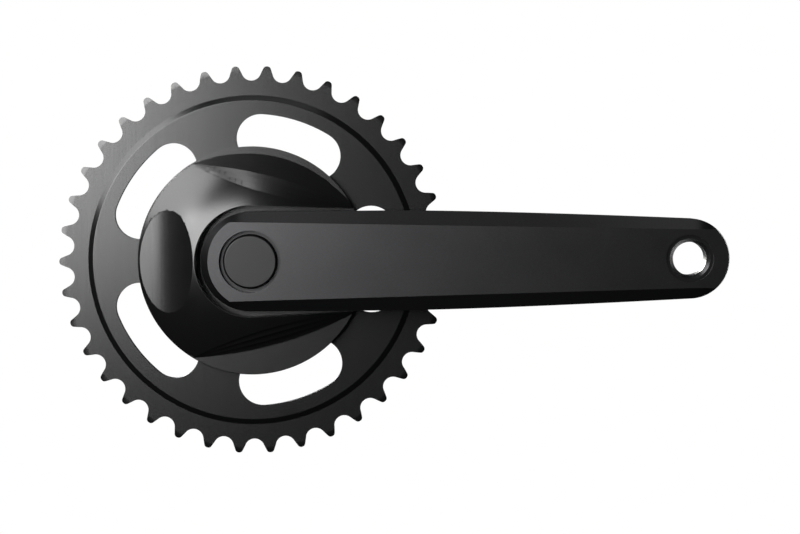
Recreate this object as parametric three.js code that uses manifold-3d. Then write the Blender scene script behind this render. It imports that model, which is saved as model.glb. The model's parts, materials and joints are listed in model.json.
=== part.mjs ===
// Drive side of a bicycle crankset on its cartridge bottom bracket.
//
// The pieces are made in the bench frame: the crank axis is z, z grows outboard towards the rider's
// right foot, z = 0 is the centre plane of the bicycle, and the arm points along x. The last lines
// turn the whole set so that the crank axis is Y, outboard is -Y and up is +Z. Sizes are in mm.
import * as THREE from "three";
import { mergeVertices } from "three/addons/utils/BufferGeometryUtils.js";
import Module from "manifold-3d";

const wasm = await Module();
wasm.setup();

// ---- Driving dimensions ----

const GAP = 0.3; // left between pieces that touch on the real crankset
const RUNNING_GAP = 0.25; // between the balls and their races

// Bicycle frame and bottom bracket
const SHELL_WIDTH = 68;
const CUP_THREAD_R = 17.4;
const CUP_THREAD_LENGTH = 15;
const CUP_FLANGE_R = 20.2;
const CUP_FLANGE = 2.8;
const LEFT_CUP_PROUD = 0.6;
const SPLINES = 20;
const SPLINE_DEPTH = 0.9;
const SLEEVE_WALL = 1;
const SEAL_THICKNESS = 1.6;

// Bearings
const BEARING_BORE_R = 8.5;
const BEARING_R = 15;
const BEARING_WIDTH = 7;
const BEARING_INSET = 5; // from the shell's face to the bearing's outer side
const BALL_R = 1.8;
const BALLS = 11;
const CAGE_HEIGHT = 2.4;

// Square-taper spindle
const SPINDLE_SHOULDER = 1.1;
const SQUARE_END = 12.65; // across the flats at the spindle's end
const SQUARE_TAPER = THREE.MathUtils.degToRad(2);
const SQUARE_CORNER_R = 8.1;
const CRANK_BOLT_R = 4;
const BOLT_HOLE_DEPTH = 24;

// Crank arm
const CRANK_LENGTH = 175;
const BOSS_CLEARANCE = 3.7; // from the right cup's flange to the boss
const BOSS_R = 17;
const HUB_HALF_WIDTH = 20;
const EYE_HALF_WIDTH = 16;
const PARALLEL_LENGTH = 60; // the arm keeps its width this far out
const ARM_THICKNESS = 16;
const EYE_THICKNESS = 13;
const ARM_FLARE = 4; // how much further outboard the arm's face is at the pedal
const ARM_BEVEL = 5;
const ARM_BEVEL_DEPTH = 3;
const RECESS_DEPTH = 12.5;
const RECESS_R = 11;
const MOUTH_R = 12.4;
const MOUTH_DEPTH = 4;
const PULL_ROOM = 3; // from the spindle's end to the floor of the recess
const PEDAL_HOLE_R = 6.9;
const PEDAL_CHAMFER = 1.2;
const PEDAL_FACE_R = 9.6;
const PEDAL_FACE_DEPTH = 0.4;

// Crank bolt, washer and cap
const BOLT_HEAD_R = 7.5;
const CRANK_BOLT_HEX = 4;
const WASHER_THICKNESS = 1.6;
const CAP_THICKNESS = 1.6;
const CAP_SINK = 0.7;
const CAP_CHAMFER = 0.8;
const CAP_WALL = 1.4;
const CAP_SKIRT = 5;

// Chainring
const TEETH = 38;
const CHAIN_PITCH = 12.7;
const CHAIN_LINE = 50;
const TOOTH_THICKNESS = 2.1;
const ROLLER_SEAT_R = 4.1;
const TOOTH_HEIGHT = 6; // from root to tip
const TIP_HALF_WIDTH = 1.45;
const TIP_ROUNDING = 0.8;
const SEAT_CLEARANCE = 0.2;
const TIP_THICKNESS = 1;
const TIP_CHAMFER = 2.6;
const TOOTH_RING = 5.9; // flat ring inside the roots
const STEP_RUN = 2.3;
const STEP_HEIGHT = 1.75;
const SLOT_MARGIN = 5.3; // from the slots to the step
const WEB_WIDTH = 18.65;
const RING_BORE_MARGIN = 6; // from the bore to the bolt circle

// Spider and chainring bolts
const ARMS = 5;
const BOLT_CIRCLE_R = 37;
const SLOT_PAST_BOLTS = 2.9;
const SPIDER_THICKNESS = 4;
const SPIDER_ARM_HALF_WIDTH = 6;
const SPIDER_TAB_R = 7.1;
const SPIDER_RING = 5;
const SPIDER_COLLAR = 1.5; // round the bore, up to the arm's back
const CHAINRING_BOLT_HEAD_R = 5.8;
const CHAINRING_BOLT_HEAD = 1.8;
const CHAINRING_BOLT_R = 3.9;
const CHAINRING_BOLT_HEX = 2.9;
const BARREL_R = 4.8;
const NUT_FLANGE_R = 6;
const NUT_FLANGE = 1.4;
const NUT_SLOT = 2.4;

// Cover
const COVER_WALL = 1.7;
const COVER_RIM_CLEARANCE = 0.4;
const COVER_DOME_R = 78;
const RIM_HEIGHT = 2.4; // rim's front edge above the spider
const POCKET_CLEARANCE = 2.5; // round the hub end
const CHANNEL_END_CLEARANCE = 0.6; // where the arm leaves the cover
const SCOOP_R = 45;
const CRESCENT_FLOOR = 2.1; // above the spider
const CRESCENT_STEPS = 3;
const HOOK_WIDTH = 2;
const HOOK_LENGTH = 3.8;
const HOOK_CLEARANCE = 0.6; // to the chainring's bore
const HOOK_LIP = 1.3;

// ---- Where things lie along the crank axis ----

const shellFace = SHELL_WIDTH / 2;
const bearingOuterSide = shellFace - BEARING_INSET;
const bearingInnerSide = bearingOuterSide - BEARING_WIDTH;
const sealInnerSide = bearingOuterSide + GAP;
const sealOuterSide = sealInnerSide + SEAL_THICKNESS;
const sleeveEnd = sealOuterSide + GAP;
const cupLip = sleeveEnd + GAP;
const cupThreadEnd = shellFace - CUP_THREAD_LENGTH;
const bossStart = shellFace + CUP_FLANGE + BOSS_CLEARANCE;
const ringBack = CHAIN_LINE - TOOTH_THICKNESS / 2;
const toothFront = CHAIN_LINE + TOOTH_THICKNESS / 2;
const webFront = toothFront + STEP_HEIGHT;
const spiderBack = webFront + GAP;
const spiderFront = spiderBack + SPIDER_THICKNESS;
const armBack = spiderFront + 1.4;
const armFront = armBack + ARM_THICKNESS;
const eyeFront = armFront + ARM_FLARE;
const recessFloor = armFront - RECESS_DEPTH;
const spindleEnd = recessFloor - PULL_ROOM;
const taperStart = bossStart - 1;
const washerBack = recessFloor + GAP;
const washerFront = washerBack + WASHER_THICKNESS;
const capFace = armFront - CAP_SINK;
const capInside = capFace - CAP_THICKNESS;
const boltHeadBack = washerFront + GAP;
const boltHeadFront = capInside - 1;

// ---- Radii that follow from other sizes ----

const pitchR = CHAIN_PITCH / 2 / Math.sin(Math.PI / TEETH);
const rootR = pitchR + SEAT_CLEARANCE - ROLLER_SEAT_R;
const tipR = rootR + TOOTH_HEIGHT;
const stepOuterR = rootR - TOOTH_RING;
const stepInnerR = stepOuterR - STEP_RUN;
const slotOuterR = stepInnerR - SLOT_MARGIN;
const slotInnerR = BOLT_CIRCLE_R + SLOT_PAST_BOLTS;
const ringBoreR = BOLT_CIRCLE_R - RING_BORE_MARGIN;
const sleeveBoreR = BEARING_R + GAP;
const sleeveR = sleeveBoreR + SLEEVE_WALL;
const cupBoreR = sleeveR + GAP;
const cupLipR = sleeveR - SPLINE_DEPTH;
const ballCircleR = (BEARING_BORE_R + BEARING_R) / 2;
const grooveR = BALL_R + RUNNING_GAP;
const raceBoreR = BEARING_BORE_R + GAP;
const spiderBoreR = BOSS_R + GAP;
const spiderRingR = spiderBoreR + SPIDER_RING;
const spiderCollarR = spiderBoreR + SPIDER_COLLAR;
const barrelHoleR = BARREL_R + GAP;
const headHoleR = CHAINRING_BOLT_HEAD_R + GAP;
const coverR = BOLT_CIRCLE_R + SPIDER_TAB_R + COVER_RIM_CLEARANCE + COVER_WALL;
const pocketR = HUB_HALF_WIDTH + POCKET_CLEARANCE;
const capR = RECESS_R - GAP - 0.05;

// ---- Solids ----

// The solid of a closed three.js geometry.
function solid(geometry) {
  const bare = geometry.clone();
  bare.deleteAttribute("normal");
  bare.deleteAttribute("uv");
  const merged = mergeVertices(bare, 1e-4);
  return new wasm.Manifold(
    new wasm.Mesh({
      numProp: 3,
      vertProperties: merged.attributes.position.array,
      triVerts: new Uint32Array(merged.index.array),
    }),
  );
}

// The three.js geometry of a solid.
function geometryOf(made) {
  const { vertProperties, triVerts } = made.getMesh();
  const geometry = new THREE.BufferGeometry();
  geometry.setAttribute("position", new THREE.BufferAttribute(vertProperties, 3));
  geometry.setIndex(new THREE.BufferAttribute(triVerts, 1));
  const faceted = geometry.toNonIndexed();
  faceted.computeVertexNormals();
  return faceted;
}

// A body turned about z from [radius, height] points, anticlockwise with the radius to the right.
function turned(profile, sides = 28) {
  const points = profile.map(([r, z]) => new THREE.Vector2(r, z));
  return solid(new THREE.LatheGeometry(points, sides).rotateX(Math.PI / 2));
}

function disc(radius, low, high, sides = 28) {
  const geometry = new THREE.CylinderGeometry(radius, radius, high - low, sides);
  return solid(geometry.rotateX(Math.PI / 2).translate(0, 0, (low + high) / 2));
}

function ring(inner, outer, low, high, sides = 28) {
  return turned([[inner, low], [outer, low], [outer, high], [inner, high], [inner, low]], sides);
}

function block(low, high) {
  const size = high.map((h, i) => h - low[i]);
  const middle = high.map((h, i) => (h + low[i]) / 2);
  return solid(new THREE.BoxGeometry(...size).translate(...middle));
}

// A flat outline raised from one height to another.
function raised(shape, low, high, curveSegments = 12) {
  const settings = { depth: high - low, bevelEnabled: false, curveSegments };
  return solid(new THREE.ExtrudeGeometry(shape, settings).translate(0, 0, low));
}

function hexPrism(acrossHalf, low, high) {
  return disc(acrossHalf / Math.cos(Math.PI / 6), low, high, 6);
}

function at(made, x, y) {
  return made.translate([x, y, 0]);
}

function armAngle(index) {
  return (2 * Math.PI * (index + 0.5)) / ARMS;
}

function onBoltCircle(made, index) {
  const angle = armAngle(index);
  return at(made, BOLT_CIRCLE_R * Math.cos(angle), BOLT_CIRCLE_R * Math.sin(angle));
}

function turnedBy(made, angle) {
  return made.rotate([0, 0, THREE.MathUtils.radToDeg(angle)]);
}

function union(solids) {
  return solids.reduce((all, one) => all.add(one));
}

// ---- Materials ----

function finish(color, roughness, metalness) {
  return new THREE.MeshStandardMaterial({ color, roughness, metalness });
}

const finishes = {
  blackAnodised: () => finish(0x2b2b2c, 0.5, 0.6),
  ringAnodised: () => finish(0x343434, 0.45, 0.7),
  mouldedPlastic: () => finish(0x1b1b1c, 0.35, 0),
  zincSteel: () => finish(0x8c8d8c, 0.4, 0.9),
  spindleSteel: () => finish(0x77746e, 0.45, 0.9),
  bearingSteel: () => finish(0xb4b6b8, 0.2, 1),
  cupSteel: () => finish(0x5d5e60, 0.5, 0.8),
  rubber: () => finish(0x151515, 0.8, 0),
};

// ---- Bottom bracket ----

// Square pyramid frustum that widens towards the centre of the bicycle; the corners are cut later.
function squareTaper(start, end, clearance) {
  const across = (z) => SQUARE_END + 2 * (spindleEnd - z) * Math.tan(SQUARE_TAPER) + 2 * clearance;
  const cornerR = (z) => across(z) / Math.SQRT2;
  const geometry = new THREE.CylinderGeometry(cornerR(end), cornerR(start), end - start, 4);
  geometry.rotateX(Math.PI / 2).rotateZ(Math.PI / 4).translate(0, 0, (start + end) / 2);
  return solid(geometry);
}

function spindleSquare() {
  return squareTaper(taperStart, spindleEnd, 0).intersect(
    disc(SQUARE_CORNER_R, taperStart - 1, spindleEnd + 1),
  );
}

function makeSpindle() {
  const shoulder = bearingInnerSide - GAP;
  const shoulderR = BEARING_BORE_R + SPINDLE_SHOULDER;
  const journal = disc(BEARING_BORE_R, -taperStart - 0.5, taperStart + 0.5);
  const middle = disc(shoulderR, -shoulder, shoulder);
  const right = spindleSquare();
  const left = right.mirror([0, 0, 1]);
  const holeR = CRANK_BOLT_R + GAP;
  const rightHole = disc(holeR, spindleEnd - BOLT_HOLE_DEPTH, spindleEnd + 1, 24);
  const leftHole = rightHole.mirror([0, 0, 1]);
  return union([journal, middle, right, left]).subtract(rightHole).subtract(leftHole);
}

// Half of the ball groove's arc, as profile points from one side to the other.
function grooveArc(towardsAxis, halfHeight) {
  const side = towardsAxis ? -1 : 1;
  const reach = Math.asin(halfHeight / grooveR);
  const steps = 4;
  return Array.from({ length: steps + 1 }, (_, i) => {
    const angle = -reach + (2 * reach * i) / steps;
    return [ballCircleR + side * grooveR * Math.cos(angle), grooveR * Math.sin(angle)];
  });
}

// Races are made about z = 0 and moved to their bearing.
function makeInnerRace() {
  const half = BEARING_WIDTH / 2;
  const arc = grooveArc(true, 0.8 * grooveR);
  const landR = arc[0][0];
  const outside = [[landR, -half], ...arc, [landR, half]];
  return turned([[raceBoreR, -half], ...outside, [raceBoreR, half], [raceBoreR, -half]]);
}

function makeOuterRace() {
  const half = BEARING_WIDTH / 2;
  const arc = grooveArc(false, 0.8 * grooveR).reverse();
  const landR = arc[0][0];
  const outside = [[landR, -half], [BEARING_R, -half], [BEARING_R, half], [landR, half]];
  return turned([...outside, ...arc, [landR, -half]]);
}

function makeBallSet() {
  const cage = ring(
    ballCircleR - 0.55,
    ballCircleR + 0.55,
    -CAGE_HEIGHT / 2,
    CAGE_HEIGHT / 2,
    3 * BALLS,
  );
  const ball = solid(new THREE.IcosahedronGeometry(BALL_R, 0));
  const balls = Array.from({ length: BALLS }, (_, i) =>
    turnedBy(at(ball, ballCircleR, 0), (2 * Math.PI * i) / BALLS),
  );
  return union([cage, ...balls]);
}

function makeSeal() {
  return ring(raceBoreR, sleeveBoreR - GAP, sealInnerSide, sealOuterSide);
}

function makeSleeve() {
  return ring(sleeveBoreR, sleeveR, -sleeveEnd, sleeveEnd);
}

// Cup with its lip outside the sleeve's end; the lip has the notches that the fitting tool turns.
function makeCup(outerFace, flangeR) {
  const body = ring(cupBoreR, CUP_THREAD_R, cupThreadEnd, cupLip);
  const lip = ring(cupLipR, CUP_THREAD_R, cupLip, outerFace);
  const flange = flangeR > CUP_THREAD_R ? ring(cupLipR, flangeR, shellFace, outerFace) : lip;
  const half = SPLINE_DEPTH * 0.8;
  const notch = block([0, -half, cupLip - 1], [cupLipR + SPLINE_DEPTH, half, outerFace + 1]);
  const notches = Array.from({ length: SPLINES }, (_, i) =>
    turnedBy(notch, (2 * Math.PI * i) / SPLINES),
  );
  return union([body, lip, flange]).subtract(union(notches));
}

// ---- Crank arm ----

// Half the arm's width at a distance out from the crank axis.
function armHalfWidth(x) {
  const share = Math.max(0, (x - PARALLEL_LENGTH) / (CRANK_LENGTH - PARALLEL_LENGTH));
  return HUB_HALF_WIDTH - (HUB_HALF_WIDTH - EYE_HALF_WIDTH) * share ** 1.4;
}

function armOutline() {
  const shape = new THREE.Shape();
  const steps = 8;
  shape.absarc(0, 0, HUB_HALF_WIDTH, Math.PI / 2, (3 * Math.PI) / 2, false);
  for (let i = 0; i < steps; i++) {
    const x = PARALLEL_LENGTH + ((CRANK_LENGTH - PARALLEL_LENGTH) * i) / steps;
    shape.lineTo(x, -armHalfWidth(x));
  }
  shape.absarc(CRANK_LENGTH, 0, EYE_HALF_WIDTH, -Math.PI / 2, Math.PI / 2, false);
  for (let i = steps - 1; i >= 0; i--) {
    const x = PARALLEL_LENGTH + ((CRANK_LENGTH - PARALLEL_LENGTH) * i) / steps;
    shape.lineTo(x, armHalfWidth(x));
  }
  return shape;
}

// Block with the arm's back as its lower side: level behind the crank axis, sloped up to the pedal.
function aboveArmBack() {
  const past = CRANK_LENGTH + 2 * EYE_HALF_WIDTH;
  const before = -2 * HUB_HALF_WIDTH;
  const slope = (eyeFront - EYE_THICKNESS - armBack) / CRANK_LENGTH;
  const top = eyeFront + ARM_THICKNESS;
  const shape = new THREE.Shape([
    new THREE.Vector2(before, armBack),
    new THREE.Vector2(0, armBack),
    new THREE.Vector2(past, armBack + slope * past),
    new THREE.Vector2(past, top),
    new THREE.Vector2(before, top),
  ]);
  const width = 4 * HUB_HALF_WIDTH;
  const geometry = new THREE.ExtrudeGeometry(shape, { depth: width, bevelEnabled: false });
  return solid(geometry.rotateX(Math.PI / 2).translate(0, width / 2, 0));
}

// The bar with its bevelled front edge, leaned outboard by the flare.
function armBar() {
  const depth = 2 * ARM_THICKNESS;
  const geometry = new THREE.ExtrudeGeometry(armOutline(), {
    depth,
    curveSegments: 16,
    bevelThickness: ARM_BEVEL_DEPTH,
    bevelSize: ARM_BEVEL,
    bevelOffset: -ARM_BEVEL,
    bevelSegments: 1,
  });
  geometry.translate(0, 0, -depth - ARM_BEVEL_DEPTH);
  geometry.rotateY(-Math.atan(ARM_FLARE / CRANK_LENGTH)).translate(0, 0, armFront);
  return solid(geometry).intersect(aboveArmBack());
}

function hubCuts() {
  const square = squareTaper(bossStart - 1, recessFloor + 1, GAP);
  const recess = turned([
    [0, recessFloor],
    [RECESS_R, recessFloor],
    [RECESS_R, armFront - MOUTH_DEPTH],
    [MOUTH_R, armFront - MOUTH_DEPTH],
    [MOUTH_R, armFront + 5],
    [0, armFront + 5],
  ]);
  return square.add(recess);
}

function pedalCuts() {
  const face = eyeFront - PEDAL_FACE_DEPTH - 0.25;
  const cut = turned([
    [0, 0],
    [PEDAL_HOLE_R, 0],
    [PEDAL_HOLE_R, face - PEDAL_CHAMFER],
    [PEDAL_HOLE_R + PEDAL_CHAMFER, face],
    [PEDAL_FACE_R, face],
    [PEDAL_FACE_R, eyeFront + 5],
    [0, eyeFront + 5],
  ]);
  return at(cut, CRANK_LENGTH, 0);
}

function makeCrankArm() {
  const bossChamfer = 1.2;
  const boss = turned([
    [0, bossStart],
    [BOSS_R - bossChamfer, bossStart],
    [BOSS_R, bossStart + bossChamfer],
    [BOSS_R, armBack + 2],
    [0, armBack + 2],
  ]);
  return armBar().add(boss).subtract(hubCuts()).subtract(pedalCuts());
}

function makeWasher() {
  return ring(CRANK_BOLT_R + GAP, RECESS_R - 2 * GAP, washerBack, washerFront);
}

function makeCrankBolt() {
  const shankEnd = spindleEnd - BOLT_HOLE_DEPTH + 3;
  const rim = 0.8;
  const body = turned([
    [0, shankEnd],
    [CRANK_BOLT_R - rim, shankEnd],
    [CRANK_BOLT_R, shankEnd + rim],
    [CRANK_BOLT_R, boltHeadBack],
    [BOLT_HEAD_R, boltHeadBack],
    [BOLT_HEAD_R, boltHeadFront - rim],
    [BOLT_HEAD_R - rim, boltHeadFront],
    [0, boltHeadFront],
  ]);
  const socketDepth = 0.7 * (boltHeadFront - boltHeadBack);
  return body.subtract(hexPrism(CRANK_BOLT_HEX, boltHeadFront - socketDepth, boltHeadFront + 1));
}

function makeDustCap() {
  const skirtEnd = capInside - CAP_SKIRT + 1;
  return turned([
    [0, capInside],
    [capR - CAP_WALL, capInside],
    [capR - CAP_WALL, skirtEnd],
    [capR, skirtEnd],
    [capR, capFace - CAP_CHAMFER],
    [capR - CAP_CHAMFER, capFace],
    [0, capFace],
  ]);
}

// ---- Chainring ----

// Outline of all the teeth, one after the other, with a roller seat between neighbours.
function toothOutline() {
  const shape = new THREE.Shape();
  const half = Math.PI / TEETH;
  const seatCentreR = pitchR + SEAT_CLEARANCE;
  const polar = (r, angle) => [r * Math.cos(angle), r * Math.sin(angle)];
  const seatReach = THREE.MathUtils.degToRad(64); // each side of the seat's lowest point
  const seatSteps = 6;
  const tipSteps = 2;
  const points = [];
  for (let tooth = 0; tooth < TEETH; tooth++) {
    const middle = 2 * half * tooth;
    const seatMiddle = middle + half;
    const [cx, cy] = polar(seatCentreR, seatMiddle);
    for (let i = 0; i <= tipSteps; i++) {
      const across = -TIP_HALF_WIDTH + (2 * TIP_HALF_WIDTH * i) / tipSteps;
      const round = Math.sqrt(Math.max(0, 1 - (across / TIP_HALF_WIDTH) ** 2));
      const r = tipR - TIP_ROUNDING * (1 - round);
      points.push(polar(r, middle + across / tipR));
    }
    for (let i = 0; i <= seatSteps; i++) {
      const turn = -seatReach + (2 * seatReach * i) / seatSteps;
      const [x, y] = polar(ROLLER_SEAT_R, seatMiddle + Math.PI - turn);
      points.push([cx + x, cy + y]);
    }
  }
  points.forEach(([x, y], i) => (i ? shape.lineTo(x, y) : shape.moveTo(x, y)));
  return shape;
}

// One kidney slot round x, with full round ends.
function slotOutline() {
  const endR = (slotOuterR - slotInnerR) / 2;
  const middleR = (slotOuterR + slotInnerR) / 2;
  const widest = Math.PI / ARMS - Math.asin(WEB_WIDTH / 2 / middleR);
  const reach = widest - Math.asin(endR / middleR);
  const end = (side) => [middleR * Math.cos(side * reach), middleR * Math.sin(side * reach)];
  const shape = new THREE.Shape();
  shape.absarc(0, 0, slotOuterR, -reach, reach, false);
  shape.absarc(...end(1), endR, reach, reach + Math.PI, false);
  shape.absarc(0, 0, slotInnerR, reach, -reach, true);
  shape.absarc(...end(-1), endR, Math.PI - reach, 2 * Math.PI - reach, false);
  return shape;
}

function makeChainring() {
  const plate = raised(toothOutline(), ringBack, toothFront);
  const chamferR = tipR - TIP_CHAMFER;
  const thinning = (TOOTH_THICKNESS - TIP_THICKNESS) / 2;
  const toothSection = turned(
    [
      [0, ringBack],
      [chamferR, ringBack],
      [tipR + 0.1, ringBack + thinning],
      [tipR + 0.1, toothFront - thinning],
      [chamferR, toothFront],
      [0, toothFront],
    ],
    TEETH,
  );
  const web = turned(
    [
      [0, ringBack],
      [stepOuterR, ringBack],
      [stepOuterR, toothFront],
      [stepInnerR, webFront],
      [0, webFront],
    ],
    60,
  );
  const slot = raised(slotOutline(), ringBack - 1, webFront + 1, 8);
  const slots = Array.from({ length: ARMS }, (_, i) => turnedBy(slot, (2 * Math.PI * i) / ARMS));
  const hole = disc(barrelHoleR, ringBack - 1, webFront + 1, 20);
  const holes = Array.from({ length: ARMS }, (_, i) => onBoltCircle(hole, i));
  const bore = disc(ringBoreR, ringBack - 1, webFront + 1, 48);
  return plate.intersect(toothSection).add(web).subtract(union([bore, ...slots, ...holes]));
}

// ---- Spider and chainring bolts ----

function makeSpider() {
  const collar = disc(spiderCollarR, spiderFront - 1, armBack - GAP);
  const hub = disc(spiderRingR, bossStart + 9, spiderFront).add(collar);
  const arm = block(
    [spiderBoreR, -SPIDER_ARM_HALF_WIDTH, spiderBack],
    [BOLT_CIRCLE_R, SPIDER_ARM_HALF_WIDTH, spiderFront],
  );
  const tab = at(disc(SPIDER_TAB_R, spiderBack, spiderFront, 24), BOLT_CIRCLE_R, 0);
  const arms = Array.from({ length: ARMS }, (_, i) => turnedBy(arm.add(tab), armAngle(i)));
  const headSeat = spiderFront - CHAINRING_BOLT_HEAD - GAP;
  const hole = turned(
    [
      [0, spiderBack - 1],
      [barrelHoleR, spiderBack - 1],
      [barrelHoleR, headSeat],
      [headHoleR, headSeat],
      [headHoleR, spiderFront + 1],
      [0, spiderFront + 1],
    ],
    20,
  );
  const holes = Array.from({ length: ARMS }, (_, i) => onBoltCircle(hole, i));
  const bore = disc(spiderBoreR, bossStart, armBack + 1);
  return union([hub, ...arms]).subtract(union([bore, ...holes]));
}

function makeChainringBolt() {
  const headBack = spiderFront - CHAINRING_BOLT_HEAD;
  const shankEnd = ringBack - 1;
  const body = turned(
    [
      [0, shankEnd],
      [CHAINRING_BOLT_R, shankEnd],
      [CHAINRING_BOLT_R, headBack],
      [CHAINRING_BOLT_HEAD_R, headBack],
      [CHAINRING_BOLT_HEAD_R, spiderFront - 0.5],
      [CHAINRING_BOLT_HEAD_R - 0.5, spiderFront],
      [0, spiderFront],
    ],
    16,
  );
  return body.subtract(hexPrism(CHAINRING_BOLT_HEX, spiderFront - 4, spiderFront + 1));
}

function makeChainringNut() {
  const flangeFront = ringBack - GAP;
  const flangeBack = flangeFront - NUT_FLANGE;
  const barrelEnd = spiderFront - CHAINRING_BOLT_HEAD - 2 * GAP;
  const body = turned(
    [
      [CHAINRING_BOLT_R + GAP, flangeBack],
      [NUT_FLANGE_R, flangeBack],
      [NUT_FLANGE_R, flangeFront],
      [BARREL_R, flangeFront],
      [BARREL_R, barrelEnd],
      [CHAINRING_BOLT_R + GAP, barrelEnd],
      [CHAINRING_BOLT_R + GAP, flangeBack],
    ],
    16,
  );
  const slotHalf = NUT_SLOT / 2;
  const slot = block(
    [-NUT_FLANGE_R - 1, -slotHalf, flangeBack - 1],
    [NUT_FLANGE_R + 1, slotHalf, flangeBack + 0.6],
  );
  return body.subtract(slot);
}

// ---- Cover ----

const coverBase = spiderFront + GAP;
const rimFront = spiderFront + RIM_HEIGHT;
const crescentFloor = spiderFront + CRESCENT_FLOOR;
const domeCentre = rimFront - Math.sqrt(COVER_DOME_R ** 2 - coverR ** 2);

function domeHeight(r) {
  return domeCentre + Math.sqrt(COVER_DOME_R ** 2 - r ** 2);
}

// Dome-shaped body from the base up to the outer surface, or to one inset below it.
function dome(inset) {
  const steps = 8;
  const outerR = coverR - inset;
  const arc = Array.from({ length: steps + 1 }, (_, i) => {
    const r = outerR * (1 - i / steps);
    return [r, domeHeight(r) - inset];
  });
  return turned([[0, coverBase], [outerR, coverBase], ...arc], 64);
}

// Channel that the hub end and the arm pass through. It closes in on the arm towards the rim.
function pocket(inset) {
  const r = pocketR + inset;
  const past = coverR + 2;
  const end = HUB_HALF_WIDTH + CHANNEL_END_CLEARANCE + inset;
  const shape = new THREE.Shape([
    new THREE.Vector2(0, -r),
    new THREE.Vector2(past, -end),
    new THREE.Vector2(past, end),
    new THREE.Vector2(0, r),
  ]);
  return disc(r, ringBack, armFront + 1, 48).add(raised(shape, ringBack, armFront + 1));
}

// Cylindrical scoop across the side away from the arm. Its edge meets the dome near the rim and
// near the pocket.
function scoop(inset) {
  const nearRim = coverR - 1;
  const nearPocket = pocketR + 0.5;
  const dx = nearRim - nearPocket;
  const dz = domeHeight(nearPocket) - domeHeight(nearRim);
  const chord = Math.hypot(dx, dz);
  const lift = Math.sqrt(SCOOP_R ** 2 - (chord / 2) ** 2);
  const x = -(nearRim + nearPocket) / 2 - (lift * dz) / chord;
  const z = (domeHeight(nearRim) + domeHeight(nearPocket)) / 2 + (lift * dx) / chord;
  const geometry = new THREE.CylinderGeometry(SCOOP_R + inset, SCOOP_R + inset, 2 * coverR, 96);
  return solid(geometry.translate(x, 0, z));
}

// Curve from the rim at the upper left to the arm's edge at the right. Bow moves its middle away
// from the hub.
function crescentEdge(bow) {
  const start = new THREE.Vector2(-0.56 * coverR, 0.87 * coverR);
  const end = new THREE.Vector2(1.0 * coverR, 0.42 * coverR);
  const middle = start.clone().add(end).multiplyScalar(0.5);
  const out = new THREE.Vector2(start.y - end.y, end.x - start.x).normalize();
  return [start, middle.addScaledVector(out, 2 * bow), end];
}

function crescentCut(bow, floor, side) {
  const [start, control, end] = crescentEdge(bow);
  const shape = new THREE.Shape();
  shape.moveTo(start.x, start.y);
  shape.quadraticCurveTo(control.x, control.y, end.x, end.y);
  shape.lineTo(1.4 * coverR, 1.4 * coverR);
  shape.lineTo(start.x, 1.4 * coverR);
  const cut = raised(shape, floor, armFront + 1, 12);
  return side > 0 ? cut : cut.mirror([0, 1, 0]);
}

// Steps from the dome down to the flat crescent floor, on the upper and the lower side.
function crescents() {
  const firstBow = -2.4;
  const lastBow = 3;
  const top = domeHeight(0.62 * coverR);
  const cuts = [];
  for (let step = 0; step <= CRESCENT_STEPS; step++) {
    const share = step / CRESCENT_STEPS;
    const bow = firstBow + (lastBow - firstBow) * share;
    const floor = top - 1.5 + (crescentFloor - top + 1.5) * share;
    cuts.push(crescentCut(bow, floor, 1), crescentCut(bow, floor, -1));
  }
  return union(cuts);
}

// Hollow under the dome. It stays a wall away from the scoop, the pocket and the crescents.
function coverHollow() {
  const shallow = -2.4 - 2 * COVER_WALL;
  const solidUnder = union([
    pocket(COVER_WALL),
    scoop(COVER_WALL),
    crescentCut(shallow, ringBack, 1),
    crescentCut(shallow, ringBack, -1),
  ]);
  const raisedDome = dome(COVER_WALL);
  const opening = disc(coverR - COVER_WALL, coverBase - 1, coverBase + 0.1, 64);
  return raisedDome.add(opening).subtract(solidUnder);
}

// Pair of snap hooks that grip the two sides of one spider arm, inside the chainring's bore.
function hookPair(angle) {
  const side = SPIDER_ARM_HALF_WIDTH + GAP;
  const lipTop = spiderBack - GAP;
  const lipEnd = lipTop - HOOK_LIP;
  const outside = side + HOOK_WIDTH;
  const far = Math.sqrt(ringBoreR ** 2 - outside ** 2) - HOOK_CLEARANCE;
  const from = far - HOOK_LENGTH;
  const stem = block([from, side, lipEnd], [far, outside, armFront]);
  const lip = block([from, side - HOOK_LIP, lipEnd], [far, outside, lipTop]);
  const hook = stem.add(lip);
  return turnedBy(hook.add(hook.mirror([0, 1, 0])), angle);
}

// Thin floor behind the arm, from the spider's collar out to the channel's walls and the rim.
function pocketFloor() {
  const plate = ring(spiderCollarR + GAP, coverR, coverBase, armBack - GAP, 64);
  return plate.intersect(pocket(0.1));
}

// Hollow shell with a skirt round the spider. The hooks' stems are ribs up to its front wall.
function makeCover() {
  const front = dome(0).subtract(scoop(0)).subtract(crescents());
  const skirt = ring(coverR - COVER_WALL, coverR, spiderBack, coverBase + 1, 64);
  const underBase = disc(coverR, ringBack, coverBase + 0.1);
  const coveredArms = [1, 2, 3];
  const hooks = union(coveredArms.map((arm) => hookPair(armAngle(arm))));
  const ribs = hooks.intersect(front.add(underBase));
  const shell = front.subtract(coverHollow()).add(skirt).add(ribs).subtract(pocket(0));
  return shell.add(pocketFloor());
}

// ---- Assembly ----

const set = new THREE.Group();
set.rotation.x = Math.PI / 2; // outboard to -Y, bench y to +Z

function place(name, made, material) {
  const mesh = new THREE.Mesh(geometryOf(made), material);
  mesh.name = name;
  set.add(mesh);
  return mesh;
}

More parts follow.
